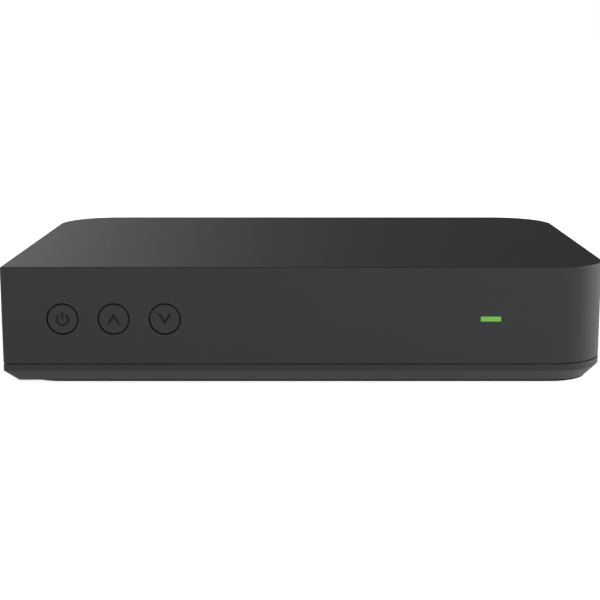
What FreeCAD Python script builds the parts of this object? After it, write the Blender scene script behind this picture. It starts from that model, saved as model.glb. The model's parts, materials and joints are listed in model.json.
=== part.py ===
import FreeCAD, Part
import math
import os
import re
import Sketcher

# A satellite tv receiver: a two-part moulded housing with its boards, buttons and rear sockets.
# Millimetres. The origin is under the middle of the whole object, +Z up, +X to the right of someone
# who faces the front, +Y to the rear. Local y runs back from the front face, local z up from the floor.

# Driving sizes
SIZES = {
    # Housing
    "width": 168,
    "depth": 112,
    "height": 33,
    "wall": 2,
    "top_thickness": 2,
    "sharp_corner_radius": 0.8,
    "front_corner_radius": 15.5,
    "rear_corner_radius": 18,
    "top_edge_radius": 0.4,
    "seam_height": 5.65,
    "seam_gap": 0.4,
    "seam_groove_depth": 0.6,
    "lip_clearance": 0.15,
    "lip_thickness": 1,
    "lip_height": 1.8,
    "foot_stand": 0.5,
    "floor_thickness": 2,
    "bevel": 3.3,
    # Feet
    "foot_radius": 5,
    "foot_clearance": 0.1,
    "foot_recess_depth": 0.8,
    "foot_side_inset": 20,
    "foot_end_inset": 10,
    # Ribs and vents
    "rib_thickness": 1,
    "rib_depth": 2,
    "rib_spacing": 34,
    "rib_count": 3,
    "side_vent_start": 44,
    "side_vent_width": 1.8,
    "side_vent_pitch": 4.2,
    "side_vent_count": 10,
    "side_vent_bottom": 12,
    "side_vent_top": 25,
    "floor_vent_width": 2.4,
    "floor_vent_pitch": 8,
    "floor_vent_count": 11,
    "floor_vent_length": 16,
    "floor_vent_front_row": 32,
    "floor_vent_rear_row": 62,
    # Housing screws
    "boss_side_inset": 10,
    "boss_front_inset": 20,
    "boss_rear_inset": 14,
    "boss_radius": 3.2,
    "well_radius": 4.4,
    "well_top": 8.8,
    "screw_recess_radius": 3.1,
    "screw_seat": 5.4,
    "screw_radius": 1.25,
    "screw_hole_clearance": 0.05,
    "screw_passage_clearance": 0.35,
    "screw_length": 12,
    "screw_head_radius": 2.7,
    "screw_head_height": 1.8,
    # Small screws for the boards
    "small_screw_radius": 1,
    "small_screw_length": 4.5,
    "small_screw_head_radius": 2.2,
    "small_screw_head_height": 1.4,
    # Main board
    "board_thickness": 1.6,
    "standoff_height": 4,
    "standoff_radius": 2.8,
    "standoff_side_inset": 4,
    "standoff_front_inset": 7,
    "standoff_rear_inset": 8,
    "board_side_inset": 17,
    "board_front": 17,
    "board_panel_gap": 2,
    # Front board
    "front_board_distance": 11,
    "front_board_left": 5,
    "front_board_end_margin": 1.25,
    "front_board_pin_margin": 1.35,
    "front_board_rise": 9,
    "front_boss_radius": 2.5,
    "front_boss_left": 8.5,
    "front_boss_middle": 56,
    "front_boss_lamp_gap": 15,
    "front_boss_rise": 5,
    # Buttons
    "control_drop": 14.5,
    "button_first": 16.9,
    "button_pitch": 14.11,
    "button_radius": 4.1,
    "button_gap": 0.35,
    "button_flange_width": 1,
    "button_flange_thickness": 0.8,
    "button_flange_gap": 0.1,
    "button_stem_radius": 1.6,
    "button_edge_bevel": 0.15,
    "button_travel": 0.5,
    "switch_length": 6,
    "switch_height": 3.5,
    "plunger_radius": 1.7,
    "plunger_clearance": 0.1,
    "plunger_reach": 1.5,
    "plunger_hold": 1.2,
    # Indicator and receiver eye
    "indicator_inset": 32.95,
    "indicator_length": 5.65,
    "indicator_height": 1.43,
    "indicator_clearance": 0.05,
    "indicator_flange": 1.2,
    "indicator_flange_thickness": 1,
    "indicator_guide_gap": 0.2,
    "lamp_length": 3.5,
    "lamp_height": 2.8,
    "lamp_thickness": 1.8,
    "eye_offset": 7,
    "eye_width": 5.4,
    "eye_height": 7,
    "eye_thickness": 3,
    "eye_lens_radius": 1.5,
    "eye_lens_reach": 1.2,
    "eye_lens_bevel": 0.6,
    # Pin header between the boards
    "header_left": 10,
    "header_pin_count": 6,
    "pin_pitch": 2.54,
    "pin_thickness": 0.64,
    "pin_hole_clearance": 0.15,
    "pin_end": 0.6,
    "header_front": 18,
    "header_depth": 2.4,
    "header_height": 2.5,
    "header_leg": 22,
    # Rear panel
    "panel_thickness": 1,
    "panel_left_margin": 9,
    "panel_right_margin": 18,
    "panel_top": 28,
    "panel_clearance": 0.15,
    "panel_stop_width": 10,
    "panel_stop_thickness": 1.4,
    "panel_stop_height": 3.2,
    "window_border": 4,
    "window_top": 26,
    "socket_clearance": 0.15,
    "socket_proud": 1,
    # Aerial input
    "aerial_place": 42,
    "aerial_height": 7,
    "aerial_reach": 10,
    "aerial_radius": 4.76,
    "aerial_root_radius": 4.5,
    "aerial_bore_radius": 3.3,
    "aerial_shoulder_radius": 5.6,
    "aerial_contact_radius": 0.5,
    "aerial_contact_inset": 3,
    "aerial_passage_clearance": 0.5,
    "aerial_insulator_inset": 0.7,
    "nut_across_flats": 11,
    "nut_thickness": 2.6,
    "nut_clearance": 0.05,
    "shield_width": 34,
    "shield_length": 32,
    "shield_height": 13,
    "shield_wall": 0.5,
    "shield_panel_gap": 4.5,
    "lid_thickness": 0.4,
    "lid_skirt": 3,
    "lid_clearance": 0.05,
    # Audio socket
    "audio_spacing": 24,
    "audio_height": 7,
    "audio_width": 10,
    "audio_block_height": 12,
    "audio_block_depth": 10,
    "audio_nose_radius": 4.8,
    "audio_collar_radius": 4.15,
    "audio_collar_wall": 0.6,
    "audio_collar_reach": 8,
    "audio_hole_radius": 1.6,
    "audio_insulator_inset": 0.8,
    # Video socket
    "video_spacing": 20,
    "video_width": 15,
    "video_height": 5.6,
    "video_depth": 12,
    "video_step": 1.3,
    "video_wall": 0.4,
    "video_back": 1,
    "video_tongue_width": 11.2,
    "video_tongue_thickness": 1.2,
    "video_tongue_inset": 0.8,
    # Data socket
    "data_spacing": 20,
    "data_width": 13.2,
    "data_height": 5.9,
    "data_depth": 13,
    "data_wall": 0.4,
    "data_back": 1,
    "data_tongue_width": 11,
    "data_tongue_thickness": 1.8,
    "data_tongue_gap": 0.6,
    "data_tongue_inset": 1,
    # Audio-video jack
    "jack_spacing": 15,
    "jack_height": 3.4,
    "jack_width": 7,
    "jack_block_height": 6.4,
    "jack_block_depth": 12,
    "jack_nose_radius": 2.9,
    "jack_bore_radius": 1.8,
    "jack_bore_depth": 12.5,
    # Power socket
    "power_spacing": 14,
    "power_height": 6.2,
    "power_width": 9,
    "power_block_height": 11,
    "power_block_depth": 14,
    "power_bore_radius": 2.9,
    "power_bore_depth": 9.5,
    "power_pin_radius": 1.05,
    "power_pin_length": 8.8,
    # Parts on the main board
    "processor_left": 6,
    "processor_row": 56,
    "processor_length": 19,
    "processor_thickness": 1.8,
    "thermal_pad_length": 17,
    "thermal_pad_thickness": 0.6,
    "sink_length": 30,
    "sink_base": 2,
    "sink_height": 10,
    "sink_fin_thickness": 1.2,
    "sink_fin_count": 7,
    "memory_right": 16,
    "memory_row": 56,
    "memory_width": 9,
    "memory_length": 13.5,
    "memory_thickness": 1.1,
    "flash_left": 28,
    "flash_row": 56,
    "flash_width": 6,
    "flash_length": 5,
    "flash_thickness": 1.6,
    "crystal_left": 27.2,
    "crystal_row": 44,
    "crystal_length": 11.4,
    "crystal_width": 4.6,
    "crystal_height": 3.6,
    "crystal_end_flat": 0.2,
    "capacitor_radius": 4,
    "capacitor_height": 12,
    "capacitor_left": 50,
    "capacitor_row": 36,
    "capacitor_pitch": 11,
    "capacitor_columns": 2,
    "capacitor_rows": 2,
    "choke_left": 42,
    "choke_rear_gap": 24,
    "choke_length": 8,
    "choke_height": 4.5,
    "choke_edge": 1.2,
    "aerial_choke_gap": 8,
    "regulator_left": 54,
    "regulator_rear_gap": 22,
    "regulator_width": 6.5,
    "regulator_length": 3.6,
    "regulator_thickness": 1.8,
}

# Derived places, as expressions of the driving sizes
FRONT_FACE = "(0 - (depth + aerial_reach) / 2)"
LEFT_SIDE = "(0 - width / 2)"
TRAY_FLOOR = "(foot_stand + floor_thickness)"
TOP_INSIDE = "(height - top_thickness)"
REAR_INSIDE = "(depth - wall)"
PANEL_FRONT = f"({REAR_INSIDE} - panel_thickness)"
BOARD_BOTTOM = f"({TRAY_FLOOR} + standoff_height)"
BOARD_TOP = f"({BOARD_BOTTOM} + board_thickness)"
BOARD_REAR = f"({PANEL_FRONT} - board_panel_gap)"
LIP_OUTSIDE = "(wall + lip_clearance)"
LIP_INSIDE = f"({LIP_OUTSIDE} + lip_thickness)"
CONTROL_LINE = "(height - control_drop)"
FRONT_BOARD_BACK = "(front_board_distance + board_thickness)"
PLUNGER_TIP = "(front_board_distance - switch_height - plunger_reach)"
SHIELD_REAR = f"({PANEL_FRONT} - shield_panel_gap)"
AERIAL_TIP = "(depth + aerial_reach)"
SOCKET_MOUTH = f"({REAR_INSIDE} + socket_proud)"
PIN_LINE = f"({BOARD_TOP} + header_height / 2)"
INDICATOR_PLACE = "(width / 2 - indicator_inset)"
AERIAL_PLACE = "aerial_place"
AUDIO_PLACE = f"({AERIAL_PLACE} - audio_spacing)"
VIDEO_PLACE = f"({AUDIO_PLACE} - video_spacing)"
DATA_PLACE = f"({VIDEO_PLACE} - data_spacing)"
JACK_PLACE = f"({DATA_PLACE} - jack_spacing)"
POWER_PLACE = f"({JACK_PLACE} - power_spacing)"
PANEL_LEFT = f"({POWER_PLACE} - panel_left_margin)"
PANEL_RIGHT = f"({AERIAL_PLACE} + panel_right_margin)"
PIN_START = "(0 - header_left - (header_pin_count - 1) * pin_pitch / 2)"

ORIGIN_PLANES = {"X": "YZ_Plane", "Y": "XZ_Plane", "Z": "XY_Plane"}
CORNER_START_ANGLES = (180, 270, 0, 90)
SIDES = ("-", "+")
BUTTONS = ("power", "channel_up", "channel_down")
NUT_SIDES = 6
PLACE_TOLERANCE = 1e-4
VOLUME_TOLERANCE = 1e-6

DOC = FreeCAD.newDocument("receiver")
NODES = []


# The sheet and its expressions
def fill_sheet():
    """Put every driving size into one cell of the sheet, under its own name."""
    sheet = DOC.addObject("Spreadsheet::Sheet", "Sizes")
    for row, (alias, value) in enumerate(SIZES.items(), start=1):
        sheet.set(f"A{row}", alias)
        sheet.set(f"B{row}", str(value))
        sheet.setAlias(f"B{row}", alias)
    DOC.recompute()
    return sheet


def sized(text):
    """Point each size's name in an expression at its cell."""
    return re.sub(r"[a-z][a-z_]*", lambda word: f"Sizes.{word.group()}", str(text))


def amount(text):
    """Return what an expression is worth now."""
    result = SHEET.evalExpression(sized(text))
    return float(getattr(result, "Value", result))


def bind(item, attribute, text):
    item.setExpression(attribute, sized(text))


def along(place):
    """Turn a place counted from the left side into an x place."""
    return f"({LEFT_SIDE} + {place})"


def put(item, x, y, z):
    """Place a sub-part, with y counted from the front face and z from the floor."""
    bind(item, "Placement.Base.x", x)
    bind(item, "Placement.Base.y", f"{FRONT_FACE} + {y}")
    bind(item, "Placement.Base.z", z)


# Bodies, sketches and features
def new_body(name, x="0", y="0", z="0", several=False):
    body = DOC.addObject("PartDesign::Body", name)
    body.Label = name
    body.AllowCompound = several
    put(body, x, y, z)
    NODES.append(body)
    return body


def new_box(name, x, y, z, length, width, height):
    """Make a block whose centre in plan is at x, y and whose underside is at z."""
    box = DOC.addObject("Part::Box", name)
    box.Label = name
    bind(box, "Length", length)
    bind(box, "Width", width)
    bind(box, "Height", height)
    put(box, f"{x} - {length} / 2", f"{y} - {width} / 2", z)
    NODES.append(box)
    return box


def new_sketch(body, axis, at="0"):
    """Start a sketch square to an axis, at a distance along it."""
    sketch = body.newObject("Sketcher::SketchObject", f"{body.Name}_sketch")
    planes = [plane for plane in body.Origin.OriginFeatures if plane.Role == ORIGIN_PLANES[axis]]
    sketch.AttachmentSupport = (planes[0], [""])
    sketch.MapMode = "FlatFace"
    facing_back = axis == "Y"
    bind(sketch, "AttachmentOffset.Base.z", f"0 - ({at})" if facing_back else at)
    sketch.addProperty("App::PropertyBool", "FacingBack")
    sketch.FacingBack = facing_back
    return sketch


def dimension(sketch, kind, geometry, point, text):
    """Hold a point of the sketch at a distance from its origin."""
    constraint = Sketcher.Constraint(kind, -1, 1, geometry, point, amount(text))
    number = sketch.addConstraint(constraint)
    bind(sketch, f"Constraints[{number}]", text)


def hold_radius(sketch, geometry, text):
    number = sketch.addConstraint(Sketcher.Constraint("Radius", geometry, amount(text)))
    bind(sketch, f"Constraints[{number}]", text)


def draw_circle(sketch, x, y, radius):
    centre = FreeCAD.Vector(amount(x), amount(y), 0)
    circle = sketch.addGeometry(Part.Circle(centre, FreeCAD.Vector(0, 0, 1), amount(radius)))
    dimension(sketch, "DistanceX", circle, 3, x)
    dimension(sketch, "DistanceY", circle, 3, y)
    hold_radius(sketch, circle, radius)


def draw_polygon(sketch, corners):
    """Draw straight sides through corners, each held by its own two dimensions."""
    places = [FreeCAD.Vector(amount(x), amount(y), 0) for x, y in corners]
    count = len(corners)
    sides = []
    for index in range(count):
        side = Part.LineSegment(places[index], places[(index + 1) % count])
        sides.append(sketch.addGeometry(side))
    for index in range(count):
        following = sides[(index + 1) % count]
        sketch.addConstraint(Sketcher.Constraint("Coincident", sides[index], 2, following, 1))
        dimension(sketch, "DistanceX", sides[index], 1, corners[index][0])
        dimension(sketch, "DistanceY", sides[index], 1, corners[index][1])


def draw_rectangle(sketch, left, bottom, right, top):
    draw_polygon(sketch, [(left, bottom), (right, bottom), (right, top), (left, top)])


def draw_block(sketch, x, y, width, height):
    """Draw a rectangle about its centre."""
    draw_rectangle(
        sketch,
        f"{x} - {width} / 2",
        f"{y} - {height} / 2",
        f"{x} + {width} / 2",
        f"{y} + {height} / 2",
    )


def draw_rounded(sketch, left, bottom, right, top, radii):
    """Draw a rectangle with a radius at each corner, from the lower left and counterclockwise."""
    lows = (amount(left), amount(bottom))
    highs = (amount(right), amount(top))
    sizes = [amount(radius) for radius in radii]
    centres = [
        (lows[0] + sizes[0], lows[1] + sizes[0]),
        (highs[0] - sizes[1], lows[1] + sizes[1]),
        (highs[0] - sizes[2], highs[1] - sizes[2]),
        (lows[0] + sizes[3], highs[1] - sizes[3]),
    ]
    arcs = []
    ends = []
    for (x, y), radius, degrees in zip(centres, sizes, CORNER_START_ANGLES):
        circle = Part.Circle(FreeCAD.Vector(x, y, 0), FreeCAD.Vector(0, 0, 1), radius)
        start = math.radians(degrees)
        arc = Part.ArcOfCircle(circle, start, start + math.pi / 2)
        ends.append((arc.StartPoint, arc.EndPoint))
        arcs.append(sketch.addGeometry(arc))
    sides = []
    count = len(arcs)
    for index in range(count):
        side = Part.LineSegment(ends[index][1], ends[(index + 1) % count][0])
        sides.append(sketch.addGeometry(side))
    for index, side in enumerate(sides):
        direction = "Vertical" if index % 2 else "Horizontal"
        sketch.addConstraint(Sketcher.Constraint("Tangent", arcs[index], 2, side, 1))
        sketch.addConstraint(Sketcher.Constraint("Tangent", side, 2, arcs[(index + 1) % count], 1))
        sketch.addConstraint(Sketcher.Constraint(direction, side))
        hold_radius(sketch, arcs[index], radii[index])
    dimension(sketch, "DistanceY", sides[0], 1, bottom)
    dimension(sketch, "DistanceX", sides[1], 1, right)
    dimension(sketch, "DistanceY", sides[2], 1, top)
    dimension(sketch, "DistanceX", sides[3], 1, left)


def draw_plan(sketch, inset):
    """Draw the housing's plan: one sharp front corner, one round one and two rounder rear ones."""
    radii = [
        "sharp_corner_radius",
        f"front_corner_radius - {inset}",
        f"rear_corner_radius - {inset}",
        f"rear_corner_radius - {inset}",
    ]
    right = f"width / 2 - {inset}"
    draw_rounded(sketch, f"{LEFT_SIDE} + {inset}", inset, right, f"depth - {inset}", radii)


def add(body, sketch, length, forward=True):
    """Pad a sketch along its axis, forward towards larger values."""
    pad = body.newObject("PartDesign::Pad", f"{body.Name}_pad")
    pad.Profile = sketch
    pad.Reversed = sketch.FacingBack == forward
    bind(pad, "Length", length)
    return pad


def cut(body, sketch, length, forward=True):
    """Pocket a sketch along its axis, forward towards larger values."""
    pocket = body.newObject("PartDesign::Pocket", f"{body.Name}_pocket")
    pocket.Profile = sketch
    pocket.Reversed = sketch.FacingBack != forward
    bind(pocket, "Length", length)
    return pocket


def repeat(body, feature, sketch, length, count):
    """Repeat a feature in a row along its sketch's own first axis."""
    pattern = body.newObject("PartDesign::LinearPattern", f"{body.Name}_row")
    pattern.Originals = [feature]
    pattern.Direction = (sketch, ["H_Axis"])
    bind(pattern, "Length", length)
    bind(pattern, "Occurrences", count)
    body.Tip = pattern
    return pattern


def ease_edges(body, feature, axis, place, size, bevelled=True):
    """Bevel or round the edges that lie in one plane square to an axis, at a place in the body."""
    DOC.recompute()
    level = amount(place)
    names = []
    for number, edge in enumerate(feature.Shape.Edges, start=1):
        low = getattr(edge.BoundBox, f"{axis}Min")
        high = getattr(edge.BoundBox, f"{axis}Max")
        if max(abs(low - level), abs(high - level)) < PLACE_TOLERANCE:
            names.append(f"Edge{number}")
    kind, attribute = ("Chamfer", "Size") if bevelled else ("Fillet", "Radius")
    finish = body.newObject(f"PartDesign::{kind}", f"{body.Name}_edge")
    finish.Base = (feature, names)
    bind(finish, attribute, size)


# Places that repeat
def boss_places():
    places = []
    for side in SIDES:
        x = f"(0 {side} (width / 2 - boss_side_inset))"
        places.append((x, "boss_front_inset"))
        places.append((x, "(depth - boss_rear_inset)"))
    return places


def between(left, left_width, right, right_width):
    """Give the middle of the gap between two neighbours' facing sides."""
    return f"(({left} + {left_width} / 2 + {right} - {right_width} / 2) / 2)"


def standoff_places():
    """Give the front pair near the board's corners and the rear pair between the sockets."""
    places = []
    for side in SIDES:
        x = f"(0 {side} (width / 2 - board_side_inset - standoff_side_inset))"
        places.append((x, "(board_front + standoff_front_inset)"))
    rear = f"({BOARD_REAR} - standoff_rear_inset)"
    places.append((between(VIDEO_PLACE, "video_width", AUDIO_PLACE, "audio_width"), rear))
    places.append((between(POWER_PLACE, "power_width", JACK_PLACE, "jack_width"), rear))
    return places


def front_boss_places():
    return [
        (along("front_boss_left"), f"({CONTROL_LINE} + front_boss_rise)"),
        (along("front_boss_middle"), CONTROL_LINE),
        (f"({INDICATOR_PLACE} - front_boss_lamp_gap)", CONTROL_LINE),
    ]


def button_place(index):
    return along(f"(button_first + {index} * button_pitch)")


def draw_pin_holes(sketch, line):
    """Draw a square hole for each pin of the header, with the pins' centres on a line."""
    size = "(pin_thickness + 2 * pin_hole_clearance)"
    for index in range(SIZES["header_pin_count"]):
        draw_block(sketch, f"({PIN_START} + {index} * pin_pitch)", line, size, size)


# Housing
def upper_housing():
    body = new_body("upper_housing")
    outline = new_sketch(body, "Z", "seam_height")
    draw_plan(outline, "0")
    block = add(body, outline, "height - seam_height")
    ease_edges(body, block, "Z", "height", "top_edge_radius", bevelled=False)

    hollow = new_sketch(body, "Z", "seam_height")
    draw_plan(hollow, "wall")
    cut(body, hollow, f"{TOP_INSIDE} - seam_height")

    groove = new_sketch(body, "Z", "seam_height")
    draw_block(groove, "0", "depth / 2", "(width + 2 * wall)", "(depth + 2 * wall)")
    draw_plan(groove, "seam_groove_depth")
    cut(body, groove, "seam_gap")

    holes = new_sketch(body, "Y")
    for index in range(len(BUTTONS)):
        draw_circle(holes, button_place(index), CONTROL_LINE, "(button_radius + button_gap)")
    cut(body, holes, "wall")

    slot = new_sketch(body, "Y")
    draw_block(slot, INDICATOR_PLACE, CONTROL_LINE, "indicator_length", "indicator_height")
    cut(body, slot, "wall")

    window = new_sketch(body, "Y", "depth")
    left = f"{PANEL_LEFT} + window_border"
    right = f"{PANEL_RIGHT} - window_border"
    draw_rectangle(window, left, "seam_height", right, "window_top")
    cut(body, window, "wall", forward=False)

    for side in SIDES:
        wall_inside = f"0 {side} (width / 2 - wall)"
        vent = new_sketch(body, "X", wall_inside)
        first_end = "side_vent_start + side_vent_width"
        draw_rectangle(vent, "side_vent_start", "side_vent_bottom", first_end, "side_vent_top")
        opening = cut(body, vent, "wall", forward=side == "+")
        row_length = "(side_vent_count - 1) * side_vent_pitch"
        repeat(body, opening, vent, row_length, "side_vent_count")

    ribs = new_sketch(body, "Z", f"{TOP_INSIDE} - rib_depth")
    cross_ribs = new_sketch(body, "Z", f"{TOP_INSIDE} - rib_depth")
    for index in range(SIZES["rib_count"]):
        step = f"(({index} - (rib_count - 1) / 2) * rib_spacing)"
        draw_block(ribs, "0", f"(depth / 2 + {step})", "(width - wall)", "rib_thickness")
        draw_block(cross_ribs, step, "depth / 2", "rib_thickness", "(depth - wall)")
    add(body, ribs, "rib_depth")
    add(body, cross_ribs, "rib_depth")

    bosses = new_sketch(body, "Z", "well_top")
    for x, y in boss_places():
        draw_circle(bosses, x, y, "boss_radius")
    add(body, bosses, f"{TOP_INSIDE} - well_top")
    pilots = new_sketch(body, "Z", "well_top")
    for x, y in boss_places():
        draw_circle(pilots, x, y, "(screw_radius + screw_hole_clearance)")
    cut(body, pilots, "screw_length")

    front_bosses = new_sketch(body, "Y", "wall")
    for x, z in front_boss_places():
        draw_circle(front_bosses, x, z, "front_boss_radius")
    add(body, front_bosses, "front_board_distance - wall")
    front_pilots = new_sketch(body, "Y", "front_board_distance")
    for x, z in front_boss_places():
        draw_circle(front_pilots, x, z, "(small_screw_radius + screw_hole_clearance)")
    cut(body, front_pilots, "small_screw_length", forward=False)


def base_tray():
    body = new_body("base_tray")
    underside = new_sketch(body, "Z", "foot_stand")
    draw_plan(underside, "bevel")
    shoulder = new_sketch(body, "Z", "foot_stand + bevel")
    draw_plan(shoulder, "0")
    bevel = body.newObject("PartDesign::AdditiveLoft", "bevelled_edge")
    bevel.Profile = underside
    bevel.Sections = [shoulder]
    bevel.Ruled = True
    add(body, shoulder, "seam_height - foot_stand - bevel")

    lip = new_sketch(body, "Z", "seam_height")
    draw_plan(lip, LIP_OUTSIDE)
    add(body, lip, "lip_height")
    hollow = new_sketch(body, "Z", TRAY_FLOOR)
    draw_plan(hollow, LIP_INSIDE)
    cut(body, hollow, f"seam_height + lip_height - {TRAY_FLOOR}")

    groove = new_sketch(body, "Z", TRAY_FLOOR)
    left = f"{PANEL_LEFT} - panel_clearance"
    right = f"{PANEL_RIGHT} + panel_clearance"
    groove_front = f"{PANEL_FRONT} - lip_thickness - panel_clearance"
    draw_rectangle(groove, left, groove_front, right, REAR_INSIDE)
    cut(body, groove, f"seam_height + lip_height - {TRAY_FLOOR}")
    stops = new_sketch(body, "Z", TRAY_FLOOR)
    for x in (f"({PANEL_LEFT} + panel_stop_width / 2)", f"({PANEL_RIGHT} - panel_stop_width / 2)"):
        y = f"({PANEL_FRONT} - panel_clearance - panel_stop_thickness / 2)"
        draw_block(stops, x, y, "panel_stop_width", "panel_stop_thickness")
    add(body, stops, "panel_stop_height")

    wells = new_sketch(body, "Z", TRAY_FLOOR)
    for x, y in boss_places():
        draw_circle(wells, x, y, "well_radius")
    add(body, wells, f"well_top - {TRAY_FLOOR}")
    recesses = new_sketch(body, "Z", "foot_stand")
    for x, y in boss_places():
        draw_circle(recesses, x, y, "screw_recess_radius")
    cut(body, recesses, "screw_seat - foot_stand")
    passages = new_sketch(body, "Z", "screw_seat")
    for x, y in boss_places():
        draw_circle(passages, x, y, "(screw_radius + screw_passage_clearance)")
    cut(body, passages, "well_top - screw_seat")

    standoffs = new_sketch(body, "Z", TRAY_FLOOR)
    for x, y in standoff_places():
        draw_circle(standoffs, x, y, "standoff_radius")
    add(body, standoffs, "standoff_height")
    pilots = new_sketch(body, "Z", BOARD_BOTTOM)
    for x, y in standoff_places():
        draw_circle(pilots, x, y, "(small_screw_radius + screw_hole_clearance)")
    cut(body, pilots, "standoff_height", forward=False)

    seats = new_sketch(body, "Z", "foot_stand")
    for x, y, _ in foot_places():
        draw_circle(seats, x, y, "(foot_radius + foot_clearance)")
    cut(body, seats, "foot_recess_depth")

    vents = new_sketch(body, "Z", "foot_stand")
    first = "(0 - (floor_vent_count - 1) * floor_vent_pitch / 2)"
    for row in ("floor_vent_front_row", "floor_vent_rear_row"):
        middle = f"({row} + floor_vent_length / 2)"
        draw_block(vents, first, middle, "floor_vent_width", "floor_vent_length")
    slots = cut(body, vents, "floor_thickness")
    row_length = "(floor_vent_count - 1) * floor_vent_pitch"
    repeat(body, slots, vents, row_length, "floor_vent_count")


def foot_places():
    places = []
    for side, side_name in zip(SIDES, ("left", "right")):
        x = f"(0 {side} (width / 2 - foot_side_inset))"
        places.append((x, "foot_end_inset", f"foot_front_{side_name}"))
        places.append((x, "(depth - foot_end_inset)", f"foot_rear_{side_name}"))
    return places


def feet():
    for x, y, name in foot_places():
        body = new_body(name, x, y)
        disc = new_sketch(body, "Z")
        draw_circle(disc, "0", "0", "foot_radius")
        add(body, disc, "foot_stand + foot_recess_depth")


def screw_set(name, places, seat, head_radius, head_height, radius, length, axis="Z", upward=True):
    """Make a set of equal pan-head screws whose heads seat on one plane."""
    body = new_body(name, several=True)
    heads = new_sketch(body, axis, seat)
    shanks = new_sketch(body, axis, seat)
    for x, y in places:
        draw_circle(heads, x, y, head_radius)
        draw_circle(shanks, x, y, radius)
    add(body, heads, head_height, forward=not upward)
    add(body, shanks, length, forward=upward)


def screws():
    screw_set(
        "housing_screws", boss_places(), "screw_seat", "screw_head_radius", "screw_head_height",
        "screw_radius", "screw_length",
    )
    screw_set(
        "main_board_screws", standoff_places(), BOARD_TOP, "small_screw_head_radius",
        "small_screw_head_height", "small_screw_radius", "small_screw_length", upward=False,
    )
    screw_set(
        "front_board_screws", front_boss_places(), FRONT_BOARD_BACK, "small_screw_head_radius",
        "small_screw_head_height", "small_screw_radius", "small_screw_length", axis="Y", upward=False,
    )


# Boards
def main_board():
    body = new_body("main_board")
    plate = new_sketch(body, "Z", BOARD_BOTTOM)
    half = "(width / 2 - board_side_inset)"
    draw_rectangle(plate, f"0 - {half}", "board_front", half, BOARD_REAR)
    for x, y in standoff_places():
        draw_circle(plate, x, y, "(small_screw_radius + screw_passage_clearance)")
    draw_pin_holes(plate, "header_leg")
    add(body, plate, "board_thickness")


def front_board():
    body = new_body("front_board")
    plate = new_sketch(body, "Y", "front_board_distance")
    right = f"{INDICATOR_PLACE} + eye_offset + eye_width / 2 + front_board_end_margin"
    bottom = f"{PIN_LINE} - front_board_pin_margin"
    top = f"{CONTROL_LINE} + front_board_rise"
    draw_rectangle(plate, along("front_board_left"), bottom, right, top)
    for x, z in front_boss_places():
        draw_circle(plate, x, z, "(small_screw_radius + screw_passage_clearance)")
    draw_pin_holes(plate, PIN_LINE)
    add(body, plate, "board_thickness")


def header():
    pins = new_body("board_link_pins", several=True)
    bend = new_sketch(pins, "X", f"{PIN_START} - pin_thickness / 2")
    tip = "front_board_distance - pin_end"
    low = f"{PIN_LINE} - pin_thickness / 2"
    high = f"{PIN_LINE} + pin_thickness / 2"
    inner = "header_leg - pin_thickness / 2"
    outer = "header_leg + pin_thickness / 2"
    foot = f"{BOARD_BOTTOM} - pin_end"
    corners = [(tip, low), (inner, low), (inner, foot), (outer, foot), (outer, high), (tip, high)]
    draw_polygon(bend, corners)
    pin = add(pins, bend, "pin_thickness")
    across = new_sketch(pins, "Z")
    draw_circle(across, "0", "0", "pin_thickness")
    repeat(pins, pin, across, "(header_pin_count - 1) * pin_pitch", "header_pin_count")

    strip = new_body("board_link_strip")
    block = new_sketch(strip, "Z", BOARD_TOP)
    x = "(0 - header_left)"
    middle = "(header_front + header_depth / 2)"
    draw_block(block, x, middle, "(header_pin_count * pin_pitch)", "header_depth")
    add(strip, block, "header_height")
    holes = new_sketch(strip, "Y", "header_front")
    draw_block(holes, PIN_START, PIN_LINE, "pin_thickness", "pin_thickness")
    hole = cut(strip, holes, "header_depth")
    repeat(strip, hole, holes, "(header_pin_count - 1) * pin_pitch", "header_pin_count")


# Buttons and their switches
def buttons():
    for index, name in enumerate(BUTTONS):
        x = button_place(index)
        cap = new_body(f"{name}_button_cap", x, "0", CONTROL_LINE)
        face = new_sketch(cap, "Y")
        draw_circle(face, "0", "0", "button_radius")
        disc = add(cap, face, "wall + button_flange_gap")
        ease_edges(cap, disc, "Y", "0", "button_edge_bevel")
        rim = new_sketch(cap, "Y", "wall + button_flange_gap")
        draw_circle(rim, "0", "0", "(button_radius + button_flange_width)")
        add(cap, rim, "button_flange_thickness")
        stem = new_sketch(cap, "Y", "wall + button_flange_gap + button_flange_thickness")
        draw_circle(stem, "0", "0", "button_stem_radius")
        stem_length = f"{PLUNGER_TIP} - wall - button_flange_gap - button_flange_thickness"
        add(cap, stem, stem_length)

        switch = new_body(f"{name}_switch_body", x, "0", CONTROL_LINE)
        block = new_sketch(switch, "Y", "front_board_distance")
        draw_block(block, "0", "0", "switch_length", "switch_length")
        add(switch, block, "switch_height", forward=False)
        bore = new_sketch(switch, "Y", "front_board_distance - switch_height")
        draw_circle(bore, "0", "0", "(plunger_radius + plunger_clearance)")
        cut(switch, bore, "plunger_hold + button_travel + plunger_clearance")

        plunger = new_body(f"{name}_switch_plunger", x, "0", CONTROL_LINE)
        rod = new_sketch(plunger, "Y", PLUNGER_TIP)
        draw_circle(rod, "0", "0", "plunger_radius")
        add(plunger, rod, "plunger_reach + plunger_hold")


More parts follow.
